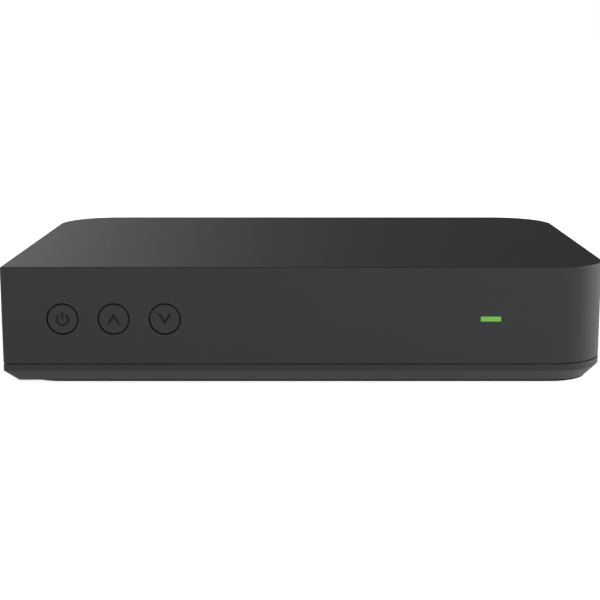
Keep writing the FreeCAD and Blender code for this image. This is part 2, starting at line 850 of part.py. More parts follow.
# Indicator and infrared receiver
def indicator():
    x = INDICATOR_PLACE
    window = new_body("indicator_window", x, "0", CONTROL_LINE)
    bar = new_sketch(window, "Y")
    length = "(indicator_length - 2 * indicator_clearance)"
    height = "(indicator_height - 2 * indicator_clearance)"
    draw_block(bar, "0", "0", length, height)
    add(window, bar, "wall")
    flange = new_sketch(window, "Y", "wall")
    left = "0 - indicator_length / 2 - indicator_flange"
    right = "eye_offset + eye_width / 2"
    drop = "0 - indicator_height / 2 - indicator_flange"
    rise = "indicator_height / 2 + indicator_flange"
    draw_rectangle(flange, left, drop, right, rise)
    add(window, flange, "indicator_flange_thickness")
    guide = new_sketch(window, "Y", "wall + indicator_flange_thickness")
    draw_block(guide, "0", "0", "lamp_length", "indicator_height")
    guide_end = "front_board_distance - lamp_thickness - indicator_guide_gap"
    add(window, guide, f"{guide_end} - wall - indicator_flange_thickness")

    lamp = new_body("indicator_lamp", x, "0", CONTROL_LINE)
    block = new_sketch(lamp, "Y", "front_board_distance")
    draw_block(block, "0", "0", "lamp_length", "lamp_height")
    add(lamp, block, "lamp_thickness", forward=False)

    eye = new_body("infrared_receiver", f"{x} + eye_offset", "0", CONTROL_LINE)
    block = new_sketch(eye, "Y", "front_board_distance")
    draw_block(block, "0", "0", "eye_width", "eye_height")
    add(eye, block, "eye_thickness", forward=False)
    lens = new_sketch(eye, "Y", "front_board_distance - eye_thickness")
    draw_circle(lens, "0", "0", "eye_lens_radius")
    dome = add(eye, lens, "eye_lens_reach", forward=False)
    lens_face = "front_board_distance - eye_thickness - eye_lens_reach"
    ease_edges(eye, dome, "Y", lens_face, "eye_lens_bevel")


# Rear panel
def rear_panel():
    body = new_body("rear_panel")
    plate = new_sketch(body, "Y", PANEL_FRONT)
    draw_rectangle(plate, PANEL_LEFT, TRAY_FLOOR, PANEL_RIGHT, "panel_top")
    aerial_line = f"({BOARD_TOP} + aerial_height)"
    draw_circle(plate, AERIAL_PLACE, aerial_line, "(aerial_radius + socket_clearance)")
    audio_line = f"({BOARD_TOP} + audio_height)"
    draw_circle(plate, AUDIO_PLACE, audio_line, "(audio_nose_radius + socket_clearance)")
    jack_line = f"({BOARD_TOP} + jack_height)"
    draw_circle(plate, JACK_PLACE, jack_line, "(jack_nose_radius + socket_clearance)")
    for place, width, height in (
        (VIDEO_PLACE, "video_width", "video_height"),
        (DATA_PLACE, "data_width", "data_height"),
        (POWER_PLACE, "power_width", "power_block_height"),
    ):
        cutout_width = f"({width} + 2 * socket_clearance)"
        cutout_height = f"({height} + 2 * socket_clearance)"
        draw_block(plate, place, f"({BOARD_TOP} + {height} / 2)", cutout_width, cutout_height)
    add(body, plate, "panel_thickness")


# Aerial input and tuner
def aerial_input():
    x = AERIAL_PLACE
    z = f"{BOARD_TOP} + aerial_height"
    connector = new_body("aerial_connector", x, "0", z)
    shoulder = new_sketch(connector, "Y", SHIELD_REAR)
    draw_circle(shoulder, "0", "0", "aerial_shoulder_radius")
    draw_circle(shoulder, "0", "0", "aerial_bore_radius")
    add(connector, shoulder, "shield_panel_gap")
    under_nut = new_sketch(connector, "Y", PANEL_FRONT)
    draw_circle(under_nut, "0", "0", "aerial_root_radius")
    draw_circle(under_nut, "0", "0", "aerial_bore_radius")
    add(connector, under_nut, "panel_thickness + nut_thickness")
    thread_start = f"{REAR_INSIDE} + nut_thickness"
    thread = new_sketch(connector, "Y", thread_start)
    draw_circle(thread, "0", "0", "aerial_radius")
    draw_circle(thread, "0", "0", "aerial_bore_radius")
    add(connector, thread, f"{AERIAL_TIP} - ({thread_start})")

    insulator = new_body("aerial_insulator", x, "0", z)
    ring = new_sketch(insulator, "Y", SHIELD_REAR)
    draw_circle(ring, "0", "0", "aerial_bore_radius")
    draw_circle(ring, "0", "0", "aerial_contact_radius")
    add(insulator, ring, f"{AERIAL_TIP} - {SHIELD_REAR} - aerial_insulator_inset")

    contact = new_body("aerial_contact", x, "0", z)
    rod = new_sketch(contact, "Y", f"{SHIELD_REAR} - shield_wall - aerial_contact_inset")
    draw_circle(rod, "0", "0", "aerial_contact_radius")
    add(contact, rod, f"{AERIAL_TIP} - {SHIELD_REAR} + shield_wall")

    nut = new_body("aerial_nut", x, "0", z)
    hexagon = new_sketch(nut, "Y", REAR_INSIDE)
    corners = []
    for step in range(NUT_SIDES):
        turn = 2 * math.pi * step / NUT_SIDES
        reach = 0.5 / math.cos(math.pi / NUT_SIDES)
        shares = (reach * math.cos(turn), reach * math.sin(turn))
        corners.append(tuple(f"(nut_across_flats * ({share:.9f}))" for share in shares))
    draw_polygon(hexagon, corners)
    draw_circle(hexagon, "0", "0", "(aerial_root_radius + nut_clearance)")
    add(nut, hexagon, "nut_thickness")

    middle = f"({SHIELD_REAR} - shield_length / 2)"
    frame = new_body("tuner_shield_frame", x, middle, BOARD_TOP)
    fence = new_sketch(frame, "Z")
    draw_block(fence, "0", "0", "shield_width", "shield_length")
    draw_block(fence, "0", "0", "(shield_width - 2 * shield_wall)", "(shield_length - 2 * shield_wall)")
    add(frame, fence, "shield_height")
    passage = new_sketch(frame, "Y", "shield_length / 2")
    draw_circle(passage, "0", "aerial_height", "(aerial_contact_radius + aerial_passage_clearance)")
    cut(frame, passage, "shield_wall", forward=False)

    lid = new_body("tuner_shield_lid", x, middle, f"{BOARD_TOP} + shield_height")
    cover = new_sketch(lid, "Z", "0 - lid_skirt")
    rim = "2 * (lid_clearance + lid_thickness)"
    draw_block(cover, "0", "0", f"(shield_width + {rim})", f"(shield_length + {rim})")
    add(lid, cover, "lid_skirt + lid_thickness")
    hollow = new_sketch(lid, "Z", "0 - lid_skirt")
    draw_block(hollow, "0", "0", "(shield_width + 2 * lid_clearance)", "(shield_length + 2 * lid_clearance)")
    cut(lid, hollow, "lid_skirt")
    notch = new_sketch(lid, "Y", "shield_length / 2 + lid_clearance + lid_thickness")
    draw_rectangle(notch, "0 - aerial_shoulder_radius", "0 - lid_skirt", "aerial_shoulder_radius", "0")
    cut(lid, notch, "lid_thickness", forward=False)


# Sockets on the rear edge of the main board
def audio_socket():
    x = AUDIO_PLACE
    housing = new_body("audio_socket_housing", x, PANEL_FRONT, BOARD_TOP)
    block = new_sketch(housing, "Y")
    half = "audio_width / 2"
    draw_rectangle(block, f"0 - {half}", "0", half, "audio_block_height")
    add(housing, block, "audio_block_depth", forward=False)
    nose = new_sketch(housing, "Y")
    draw_circle(nose, "0", "audio_height", "audio_nose_radius")
    add(housing, nose, "panel_thickness")

    inside = "(audio_collar_radius - audio_collar_wall)"
    reach = "audio_collar_reach"
    collar = new_body("audio_socket_collar", x, REAR_INSIDE, f"{BOARD_TOP} + audio_height")
    tube = new_sketch(collar, "Y")
    draw_circle(tube, "0", "0", "audio_collar_radius")
    draw_circle(tube, "0", "0", inside)
    add(collar, tube, reach)

    insulator = new_body("audio_socket_insulator", x, REAR_INSIDE, f"{BOARD_TOP} + audio_height")
    plug = new_sketch(insulator, "Y")
    draw_circle(plug, "0", "0", inside)
    draw_circle(plug, "0", "0", "audio_hole_radius")
    add(insulator, plug, f"{reach} - audio_insulator_inset")


def video_profile(sketch, inset):
    """Draw the video socket's outline, narrower at the bottom corners, inside its own edge."""
    half = f"(video_width / 2 - {inset})"
    low = inset
    high = f"video_height - {inset}"
    knee = f"({half} - video_step)"
    draw_polygon(
        sketch,
        [
            (f"0 - {knee}", low),
            (knee, low),
            (half, f"{low} + video_step"),
            (half, high),
            (f"0 - {half}", high),
            (f"0 - {half}", f"{low} + video_step"),
        ],
    )


def video_socket():
    x = VIDEO_PLACE
    shell = new_body("video_socket_shell", x, SOCKET_MOUTH, BOARD_TOP)
    outside = new_sketch(shell, "Y")
    video_profile(outside, "0")
    add(shell, outside, "video_depth", forward=False)
    inside = new_sketch(shell, "Y")
    video_profile(inside, "video_wall")
    cut(shell, inside, "video_depth - video_back", forward=False)

    tongue = new_body("video_socket_tongue", x, SOCKET_MOUTH, f"{BOARD_TOP} + video_height / 2")
    blade = new_sketch(tongue, "Y", "0 - video_tongue_inset")
    draw_block(blade, "0", "0", "video_tongue_width", "video_tongue_thickness")
    add(tongue, blade, "video_depth - video_back - video_tongue_inset", forward=False)


def data_socket():
    x = DATA_PLACE
    shell = new_body("data_socket_shell", x, SOCKET_MOUTH, f"{BOARD_TOP} + data_height / 2")
    outside = new_sketch(shell, "Y")
    draw_block(outside, "0", "0", "data_width", "data_height")
    add(shell, outside, "data_depth", forward=False)
    inside = new_sketch(shell, "Y")
    draw_block(inside, "0", "0", "(data_width - 2 * data_wall)", "(data_height - 2 * data_wall)")
    cut(shell, inside, "data_depth - data_back", forward=False)

    tongue = new_body("data_socket_tongue", x, SOCKET_MOUTH, f"{BOARD_TOP} + data_height / 2")
    blade = new_sketch(tongue, "Y", "0 - data_tongue_inset")
    middle = "(data_height / 2 - data_wall - data_tongue_gap - data_tongue_thickness / 2)"
    draw_block(blade, "0", middle, "data_tongue_width", "data_tongue_thickness")
    add(tongue, blade, "data_depth - data_back - data_tongue_inset", forward=False)


def jack():
    body = new_body("audio_video_jack", JACK_PLACE, PANEL_FRONT, BOARD_TOP)
    block = new_sketch(body, "Y")
    draw_rectangle(block, "0 - jack_width / 2", "0", "jack_width / 2", "jack_block_height")
    add(body, block, "jack_block_depth", forward=False)
    nose = new_sketch(body, "Y")
    draw_circle(nose, "0", "jack_height", "jack_nose_radius")
    add(body, nose, "panel_thickness + socket_proud")
    bore = new_sketch(body, "Y", "panel_thickness + socket_proud")
    draw_circle(bore, "0", "jack_height", "jack_bore_radius")
    cut(body, bore, "jack_bore_depth", forward=False)


def power_socket():
    x = POWER_PLACE
    housing = new_body("power_socket_housing", x, SOCKET_MOUTH, BOARD_TOP)
    block = new_sketch(housing, "Y")
    draw_rectangle(block, "0 - power_width / 2", "0", "power_width / 2", "power_block_height")
    add(housing, block, "power_block_depth", forward=False)
    bore = new_sketch(housing, "Y")
    draw_circle(bore, "0", "power_height", "power_bore_radius")
    cut(housing, bore, "power_bore_depth", forward=False)

    pin = new_body("power_socket_pin", x, SOCKET_MOUTH, f"{BOARD_TOP} + power_height")
    rod = new_sketch(pin, "Y", "0 - power_bore_depth")
    draw_circle(rod, "0", "0", "power_pin_radius")
    add(pin, rod, "power_pin_length")


# Parts on the main board
def heat_sink():
    base_level = f"{BOARD_TOP} + processor_thickness + thermal_pad_thickness"
    body = new_body("heat_sink", "(0 - processor_left)", "processor_row", base_level)
    base = new_sketch(body, "Z")
    draw_block(base, "0", "0", "sink_length", "sink_length")
    add(body, base, "sink_base")
    fin = new_sketch(body, "Z", "sink_base")
    first = "(sink_fin_thickness / 2 - sink_length / 2)"
    draw_block(fin, first, "0", "sink_fin_thickness", "sink_length")
    blade = add(body, fin, "sink_height - sink_base")
    repeat(body, blade, fin, "sink_length - sink_fin_thickness", "sink_fin_count")


def capacitors():
    body = new_body("supply_capacitors", "(0 - capacitor_left)", "capacitor_row", BOARD_TOP, several=True)
    cans = new_sketch(body, "Z")
    for column in range(SIZES["capacitor_columns"]):
        for row in range(SIZES["capacitor_rows"]):
            x = f"({column} * capacitor_pitch)"
            y = f"({row} * capacitor_pitch)"
            draw_circle(cans, x, y, "capacitor_radius")
    add(body, cans, "capacitor_height")


def choke(name, x, row):
    body = new_body(name, x, row, BOARD_TOP)
    core = new_sketch(body, "Z")
    half = "(choke_length / 2)"
    radii = ["choke_edge"] * len(CORNER_START_ANGLES)
    draw_rounded(core, f"0 - {half}", f"0 - {half}", half, half, radii)
    add(body, core, "choke_height")


def crystal():
    body = new_body("crystal", "(0 - crystal_left)", "crystal_row", BOARD_TOP)
    can = new_sketch(body, "Z")
    length = "(crystal_length / 2)"
    width = "(crystal_width / 2)"
    radii = ["(crystal_width - crystal_end_flat) / 2"] * len(CORNER_START_ANGLES)
    draw_rounded(can, f"0 - {length}", f"0 - {width}", length, width, radii)
    add(body, can, "crystal_height")


def board_parts():
    x = "(0 - processor_left)"
    side = "processor_length"
    new_box("processor", x, "processor_row", BOARD_TOP, side, side, "processor_thickness")
    level = f"{BOARD_TOP} + processor_thickness"
    side = "thermal_pad_length"
    new_box("thermal_pad", x, "processor_row", level, side, side, "thermal_pad_thickness")
    heat_sink()
    for name, size, x, row in (
        ("memory_chip", "memory", "memory_right", "memory_row"),
        ("flash_chip", "flash", "(0 - flash_left)", "flash_row"),
        ("voltage_regulator", "regulator", "(0 - regulator_left)", f"({BOARD_REAR} - regulator_rear_gap)"),
    ):
        new_box(name, x, row, BOARD_TOP, f"{size}_width", f"{size}_length", f"{size}_thickness")
    crystal()
    capacitors()
    choke("supply_choke", "(0 - choke_left)", f"({BOARD_REAR} - choke_rear_gap)")
    choke("aerial_supply_choke", AERIAL_PLACE, f"({SHIELD_REAR} - shield_length - aerial_choke_gap)")


def problems():
    """List every object that failed, every node that isn't sound and every cut that took nothing."""
    found = []
    for item in DOC.Objects:
        if "Invalid" in item.State or "Error" in item.State:
            found.append(f"{item.Label}: {item.State}")
        if item.TypeId == "PartDesign::Pocket" and item.BaseFeature is not None:
            if item.Shape.Volume >= item.BaseFeature.Shape.Volume - VOLUME_TOLERANCE:
                found.append(f"{item.Label}: cuts nothing")
    for node in NODES:
        if node.Shape.isNull() or not node.Shape.isValid():
            found.append(f"{node.Label}: shape is not sound")
        elif not node.Shape.Solids:
            found.append(f"{node.Label}: holds no solid")
        elif len(node.Shape.Solids) > 1 and not getattr(node, "AllowCompound", False):
            found.append(f"{node.Label}: fell into {len(node.Shape.Solids)} solids")
    return found


SHEET = fill_sheet()
upper_housing()
base_tray()
feet()
screws()
main_board()
front_board()
header()
buttons()
indicator()
rear_panel()
aerial_input()
audio_socket()
video_socket()
data_socket()
jack()
power_socket()
board_parts()
DOC.recompute()

faults = problems()
if faults:
    raise RuntimeError("; ".join(faults))
os.makedirs("parts", exist_ok=True)
for node in NODES:
    node.Shape.exportStep(f"parts/{node.Label}.step")
whole = Part.makeCompound([node.Shape for node in NODES]).optimalBoundingBox(False, False)
print(f"{len(NODES)} nodes, {whole.XLength:.2f} x {whole.YLength:.2f} x {whole.ZLength:.2f} mm")
print(f"lowest corner {whole.XMin:.3f} {whole.YMin:.3f} {whole.ZMin:.3f}")
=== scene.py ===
import json
import math

import bpy
import numpy as np
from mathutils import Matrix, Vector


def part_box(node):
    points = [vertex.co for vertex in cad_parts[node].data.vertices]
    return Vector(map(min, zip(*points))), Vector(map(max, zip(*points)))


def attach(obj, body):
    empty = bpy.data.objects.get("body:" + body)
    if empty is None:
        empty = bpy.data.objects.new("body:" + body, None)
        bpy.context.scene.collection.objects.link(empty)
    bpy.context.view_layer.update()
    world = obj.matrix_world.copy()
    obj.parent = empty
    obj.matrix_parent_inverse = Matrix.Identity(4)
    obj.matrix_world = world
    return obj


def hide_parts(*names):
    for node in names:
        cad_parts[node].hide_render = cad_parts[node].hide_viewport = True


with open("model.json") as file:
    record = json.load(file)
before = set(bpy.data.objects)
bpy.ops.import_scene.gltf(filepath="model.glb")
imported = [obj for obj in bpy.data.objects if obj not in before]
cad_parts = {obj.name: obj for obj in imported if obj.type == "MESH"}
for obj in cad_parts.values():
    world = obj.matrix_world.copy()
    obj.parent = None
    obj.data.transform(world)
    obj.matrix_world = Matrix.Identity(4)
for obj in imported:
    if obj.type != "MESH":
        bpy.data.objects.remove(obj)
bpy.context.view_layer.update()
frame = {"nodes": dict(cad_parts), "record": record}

NODES = frame["nodes"]
RECORD = frame["record"]
MM = 0.001
INCH = 0.0254
FULL_TURN = 2.0 * math.pi

# The photograph's camera, in the frame's metres
PHOTO_PIXELS = 600
FOCAL_PIXELS = 1338.0
OPTICAL_CENTRE_PIXEL = 306.0
SENSOR_MM = 36.0
CAMERA_PITCH = math.radians(10.557)
CAMERA_DISTANCE = 0.3616
CAMERA_RISE = 0.05826
CAMERA_SIDE = 0.05 * MM
CAMERA_CLIP_START = 0.01

# Faces of the case that the scene's own pieces lie on
HOUSING_LOW, HOUSING_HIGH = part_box("upper_housing")
TRAY_LOW, TRAY_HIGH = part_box("base_tray")
TRAY_BEVEL = 3.3 * MM
UNDERSIDE_CORNER = 12.2 * MM
FRONT_FACE = HOUSING_LOW.y
TOP_FACE = HOUSING_HIGH.z

# Colours, linear
CHARCOAL = (0.0236, 0.0236, 0.0245)
TRAY_CHARCOAL = (0.027, 0.027, 0.028)
SYMBOL_GREY = (0.0165, 0.0165, 0.0165)
PANEL_BLACK = (0.022, 0.022, 0.023)
RUBBER_BLACK = (0.015, 0.015, 0.015)
PAD_GREY = (0.33, 0.34, 0.35)
MOULDING_BLACK = (0.020, 0.020, 0.021)
PLUNGER_BLACK = (0.03, 0.03, 0.03)
EPOXY_BLACK = (0.018, 0.018, 0.019)
FERRITE_GREY = (0.045, 0.045, 0.047)
SLEEVE_BLUE = (0.02, 0.025, 0.06)
LAMP_CLOUDY = (0.6, 0.62, 0.55)
RECEIVER_DARK = (0.015, 0.008, 0.008)
INSULATOR_WHITE = (0.72, 0.71, 0.66)
INSULATOR_ORANGE = (0.70, 0.17, 0.015)
NICKEL = (0.62, 0.60, 0.56)
TIN = (0.60, 0.60, 0.58)
ALUMINIUM = (0.62, 0.62, 0.63)
GILT = (0.78, 0.56, 0.24)
SCREW_BLACK = (0.10, 0.10, 0.105)
MASK_GREEN = (0.010, 0.085, 0.032)
LENS_GREEN = (0.02, 0.06, 0.01)
LIT_GREEN = (0.140, 0.430, 0.040)
WHITE = (1.0, 1.0, 1.0)

# Noise stays mostly between these values, which are carried to the ends of each range
NOISE_SPAN = (0.3, 0.7)
NOISE_DETAIL = 2.0

# Kinds of finish, with their patches, sheen and grain in noise cells to the metre
GRAINED = {
    "sockets": {"Specular IOR Level": 0.35},
    "spread": 0.02,
    "patches": 60.0,
    "sheen": 300.0,
    "grain": {"cells": 4200.0, "detail": 3.0, "height": 0.006 * MM, "strength": 0.08},
}
PLAIN = {
    "sockets": {},
    "spread": 0.12,
    "patches": 350.0,
    "sheen": 900.0,
    "grain": {"cells": 2600.0, "detail": NOISE_DETAIL, "height": 0.01 * MM, "strength": 0.2},
}
POWDER_COAT = {
    "sockets": {},
    "spread": 0.04,
    "patches": 140.0,
    "sheen": 600.0,
    "grain": {"cells": 1800.0, "detail": NOISE_DETAIL, "height": 0.02 * MM, "strength": 0.2},
}
SOFT = {
    "sockets": {},
    "spread": 0.2,
    "patches": 260.0,
    "sheen": 800.0,
    "grain": {"cells": 1500.0, "detail": NOISE_DETAIL, "height": 0.03 * MM, "strength": 0.5},
}
PLATED = {
    "sockets": {"Metallic": 1.0},
    "spread": 0.04,
    "patches": 500.0,
    "sheen": 1200.0,
    "grain": {"cells": 1800.0, "detail": NOISE_DETAIL, "height": 0.004 * MM, "strength": 0.06},
}
LACQUERED = {
    "sockets": {"Coat Weight": 0.4},
    "spread": 0.25,
    "patches": 700.0,
    "sheen": 1500.0,
    "grain": {"cells": 900.0, "detail": NOISE_DETAIL, "height": 0.02 * MM, "strength": 0.3},
}
INK = {
    "sockets": {"Specular IOR Level": 0.12},
    "spread": 0.1,
    "patches": 900.0,
    "sheen": 2500.0,
    "grain": None,
}

# The record's slots, with the material's name, its kind, its colour and its two ends of roughness
SLOT_FINISHES = {
    "housing_plastic": ("charcoal_moulding", GRAINED, CHARCOAL, (0.51, 0.53)),
    "tray_plastic": ("tray_moulding", GRAINED, TRAY_CHARCOAL, (0.51, 0.53)),
    "button_plastic": ("button_moulding", GRAINED, CHARCOAL, (0.49, 0.51)),
    "panel_paint": ("panel_coat", POWDER_COAT, PANEL_BLACK, (0.53, 0.57)),
    "foot_rubber": ("foot_rubber_black", SOFT, RUBBER_BLACK, (0.74, 0.90)),
    "thermal_rubber": ("thermal_pad_grey", SOFT, PAD_GREY, (0.74, 0.90)),
    "board_laminate": ("board_mask", LACQUERED, MASK_GREEN, (0.25, 0.40)),
    "black_moulding": ("socket_moulding", PLAIN, MOULDING_BLACK, (0.39, 0.53)),
    "plunger_plastic": ("plunger_moulding", PLAIN, PLUNGER_BLACK, (0.34, 0.48)),
    "chip_resin": ("chip_epoxy", PLAIN, EPOXY_BLACK, (0.54, 0.68)),
    "choke_ferrite": ("choke_sintered", PLAIN, FERRITE_GREY, (0.59, 0.73)),
    "capacitor_can": ("capacitor_sleeve", PLAIN, SLEEVE_BLUE, (0.24, 0.38)),
    "lamp_body": ("lamp_resin", PLAIN, LAMP_CLOUDY, (0.24, 0.38)),
    "receiver_resin": ("receiver_resin_dark", PLAIN, RECEIVER_DARK, (0.14, 0.28)),
    "white_insulator": ("insulator_white", PLAIN, INSULATOR_WHITE, (0.34, 0.48)),
    "orange_insulator": ("insulator_orange", PLAIN, INSULATOR_ORANGE, (0.36, 0.50)),
    "nickel_plate": ("nickel_plating", PLATED, NICKEL, (0.234, 0.299)),
    "tin_plate": ("tin_plating", PLATED, TIN, (0.306, 0.391)),
    "sink_aluminium": ("sink_extrusion", PLATED, ALUMINIUM, (0.342, 0.437)),
    "gilt_contact": ("gilt_plate", PLATED, GILT, (0.225, 0.2875)),
    "screw_steel": ("screw_blackened", PLATED, SCREW_BLACK, (0.378, 0.483)),
}
# How many times finer the marks of drawing and rolling are along y than across it
DRAWN_MARKS = {"tin_plate": 6.0, "sink_aluminium": 12.0}
INK_ROUGHNESS = (0.75, 0.88)
EVEN = (1.0, 1.0, 1.0)

# The lit window: its dim and bright share of the colour, its patches to the metre
LIT_SHARES = (0.93, 1.06)
LIT_SPAN = (0.0, 1.0)
LIT_PATCHES = 500.0
LIT_SOCKETS = {"Roughness": 0.35, "Emission Strength": 0.9}

# Threaded aerial input and its nut
THREAD_RADIUS = 4.76 * MM
THREAD_PITCH = INCH / 32.0
THREAD_DEPTH = 0.26 * MM
THREAD_STEEPNESS = 2.5
THREAD_STEPS = 12
THREAD_COLUMNS = 72
BORE_RADIUS = 3.3 * MM
BORE_EDGE = 0.15 * MM
BORE_EDGE_DEPTH = 0.3 * MM
ROOT_RADIUS = 4.5 * MM
SHOULDER_RADIUS = 5.6 * MM
LEAD_IN = 0.5 * MM
THREAD_START_GAP = 0.01 * MM
NUT_COLUMNS = 144
NUT_CLEARANCE = 0.05 * MM
NUT_DISH = 0.3 * MM
NUT_CHAMFER_DEPTH = 0.9 * MM
NUT_CHAMFER_ROWS = 7
NUT_CONE_SHARE = 1.02
NUT_CONE_ANGLE = math.radians(30.0)
SIXTH_TURN = FULL_TURN / 6.0

# Plated rings in the round sockets
RING_COLUMNS = 64
RING_EDGE = 0.08 * MM
RING_EDGE_STEPS = 5
JACK_RING_RADII = (1.84 * MM, 2.45 * MM)
JACK_RING_DEPTH = 0.4 * MM
JACK_RING_PROUD = 0.06 * MM
SLEEVE_RADII = (1.35 * MM, 1.58 * MM)
SLEEVE_INSET = 0.5 * MM

# Feet: radius and height of each corner of the ring groove underneath
CAP_RADIUS = 0.02 * MM
FOOT_COLUMNS = 64
FOOT_EDGE = 0.3 * MM
FOOT_EDGE_STEPS = 6
FOOT_GROOVE = (
    (2.4 * MM, 0.0),
    (2.6 * MM, 0.15 * MM),
    (3.0 * MM, 0.15 * MM),
    (3.2 * MM, 0.0),
)

# Housing screws: the shares of the head's radius at which its rings lie are close over the cross
SCREW_COLUMNS = 128
HEAD_RADIUS = 2.7 * MM
HEAD_HEIGHT = 1.8 * MM
HEAD_POWER = 4.0
HEAD_SHARES = np.concatenate([np.linspace(0.02, 0.64, 26), np.linspace(0.7, 1.0, 7)])
SHANK_RADIUS = 1.25 * MM
SHANK_TIP = 0.8 * MM
CROSS_HALF_WIDTH = 0.45 * MM
CROSS_REACH = 1.6 * MM
CROSS_TAPER = 0.2 * MM
CROSS_DEPTH = 0.9 * MM

# Printed button symbols
BUTTON_NAMES = ("power", "channel_up", "channel_down")
SYMBOL_THICKNESS = 0.004 * MM
SYMBOL_SINK = 0.004 * MM
POWER_RADIUS = 1.57 * MM
POWER_GAP = math.radians(34.0)
POWER_DROP = 0.12 * MM
POWER_STROKE = 0.5 * MM
POWER_STEPS = 41
BAR_TOP = 2.05 * MM
BAR_FOOT = -0.35 * MM
BAR_STROKE = 0.46 * MM
BAR_STEPS = 3
CHEVRON_REACH = 1.9 * MM
CHEVRON_RISE = 1.6 * MM
CHEVRON_LEG = 0.68 * MM

# Contacts: name, the tongue under them, how many on a face, and their share of its width
CONTACT_ROWS = (
    ("video_socket_contacts", "video_socket_tongue", 10, 0.92),
    ("data_socket_contacts", "data_socket_tongue", 4, 0.85),
)
CONTACT_SHARE = 0.5
CONTACT_INSET = 0.6 * MM
CONTACT_PROUD = 0.03 * MM

SHARP_TURN = math.radians(35.0)

# Studio: strengths of light, and for the floor where each lift starts, ends and how strong it is
AMBIENT = 0.25
FLOOR_GREY = 0.85
# Painted shadow: the floor's grey under the tray's underside
PAINTED_SHADOW_GREY = 0.01
FLOOR_SOCKETS = {
    "Roughness": 0.9,
    "Specular IOR Level": 0.0,
    "Emission Color": (*WHITE, 1.0),
}
# The painted shadow fades to the floor's grey between these distances past the tray's edge
PAINTED_SHADOW_SPAN = (-0.0006, -0.0003)
# Lifts grow away from the tray, so the floor near its foot keeps painted shade as well as real shadow
FLOOR_LIFTS = ((-0.0006, -0.0002, 0.80), (0.0, 0.06, 0.16), (0.0, 0.6, 0.3))
FLOOR_IN_GLOSS = 0.8
FLOOR_HALF = 3.0
CARD_BRIGHT = 2.8
CARD_SHARES = (1.0, 0.03)
CARD_FADES = {"X": (-0.8, 0.0), "Z": (0.35, 0.8)}
CARD_REACH = 0.75
CARD_HEIGHT = 1.0
CARD_CLEARANCE = 1.0 * MM
CARD_ARC_DEGREES = 130.0
CARD_STEPS = 33
CARD_HALF_WIDTH = 1.6

# Lamps: name, place, what it is aimed at, size and watts
LAMP_TARGET = (0.0, 0.0, 0.02)
LAMPS = (
    ("front_lamp", (0.6, -1.3, 0.6), LAMP_TARGET, 0.9, 6.2),
    ("side_lamp", (1.1, 0.2, 0.3), (0.05, -0.03, 0.02), 0.6, 7.5),
    ("rear_lamp", (-0.6, 1.3, 0.9), LAMP_TARGET, 1.0, 3.0),
)


# Materials
def start_material(name, colour, sockets):
    """A Principled material with its plain values on the shader's own sockets."""
    material = bpy.data.materials.new(name)
    material.use_nodes = True
    shader = material.node_tree.nodes["Principled BSDF"]
    shader.inputs["Base Color"].default_value = (*colour, 1.0)
    for socket, value in sockets.items():
        shader.inputs[socket].default_value = value
    return material, shader


def noise_node(material, scale, detail=NOISE_DETAIL, stretch=EVEN):
    """Noise over Object coordinates, stretched along an axis where the finish has a direction."""
    nodes = material.node_tree.nodes
    links = material.node_tree.links
    place = nodes.new("ShaderNodeTexCoord")
    mapping = nodes.new("ShaderNodeMapping")
    mapping.inputs["Scale"].default_value = stretch
    noise = nodes.new("ShaderNodeTexNoise")
    noise.inputs["Scale"].default_value = scale
    noise.inputs["Detail"].default_value = detail
    links.new(place.outputs["Object"], mapping.inputs["Vector"])
    links.new(mapping.outputs["Vector"], noise.inputs["Vector"])
    return noise


def patchy_colour(material, colour, shares, scale, span):
    """The colour times a share that goes softly from the first share to the second and back."""
    ramp = material.node_tree.nodes.new("ShaderNodeValToRGB")
    for element, position, share in zip(ramp.color_ramp.elements, span, shares):
        element.position = position
        element.color = (*(min(1.0, channel * share) for channel in colour), 1.0)
    noise = noise_node(material, scale)
    material.node_tree.links.new(noise.outputs["Fac"], ramp.inputs["Fac"])
    return ramp.outputs["Color"]


def vary_roughness(material, shader, ends, scale, stretch):
    """Let the roughness wander between its two ends, and rest the socket on their middle."""
    span = material.node_tree.nodes.new("ShaderNodeMapRange")
    for socket, value in zip(("From Min", "From Max", "To Min", "To Max"), (*NOISE_SPAN, *ends)):
        span.inputs[socket].default_value = value
    noise = noise_node(material, scale, stretch=stretch)
    shader.inputs["Roughness"].default_value = sum(ends) / 2.0
    material.node_tree.links.new(noise.outputs["Fac"], span.inputs["Value"])
    material.node_tree.links.new(span.outputs["Result"], shader.inputs["Roughness"])


def raise_grain(material, shader, grain, stretch):
    """Raise the surface by noise: the grain's height in metres times its strength."""
    bump = material.node_tree.nodes.new("ShaderNodeBump")
    bump.inputs["Distance"].default_value = grain["height"]
    bump.inputs["Strength"].default_value = grain["strength"]
    noise = noise_node(material, grain["cells"], grain["detail"], stretch)
    material.node_tree.links.new(noise.outputs["Fac"], bump.inputs["Height"])
    material.node_tree.links.new(bump.outputs["Normal"], shader.inputs["Normal"])


def finished_material(name, kind, colour, roughness, stretch=EVEN):
    """A material of one kind of finish.

    The colour goes down and up by the kind's spread in soft patches, the roughness goes between its
    two ends in patches of its own, and the grain is raised where the kind has one.
    """
    material, shader = start_material(name, colour, kind["sockets"])
    shares = (1.0 - kind["spread"], 1.0 + kind["spread"])
    shade = patchy_colour(material, colour, shares, kind["patches"], NOISE_SPAN)
    material.node_tree.links.new(shade, shader.inputs["Base Color"])
    vary_roughness(material, shader, roughness, kind["sheen"], stretch)
    if kind["grain"] is not None:
        raise_grain(material, shader, kind["grain"], stretch)
    return material


def lit_window(name):
    """A lit light guide, with faintly dimmer and brighter patches."""
    material, shader = start_material(name, LENS_GREEN, LIT_SOCKETS)
    shade = patchy_colour(material, LIT_GREEN, LIT_SHARES, LIT_PATCHES, LIT_SPAN)
    material.node_tree.links.new(shade, shader.inputs["Emission Color"])
    return material


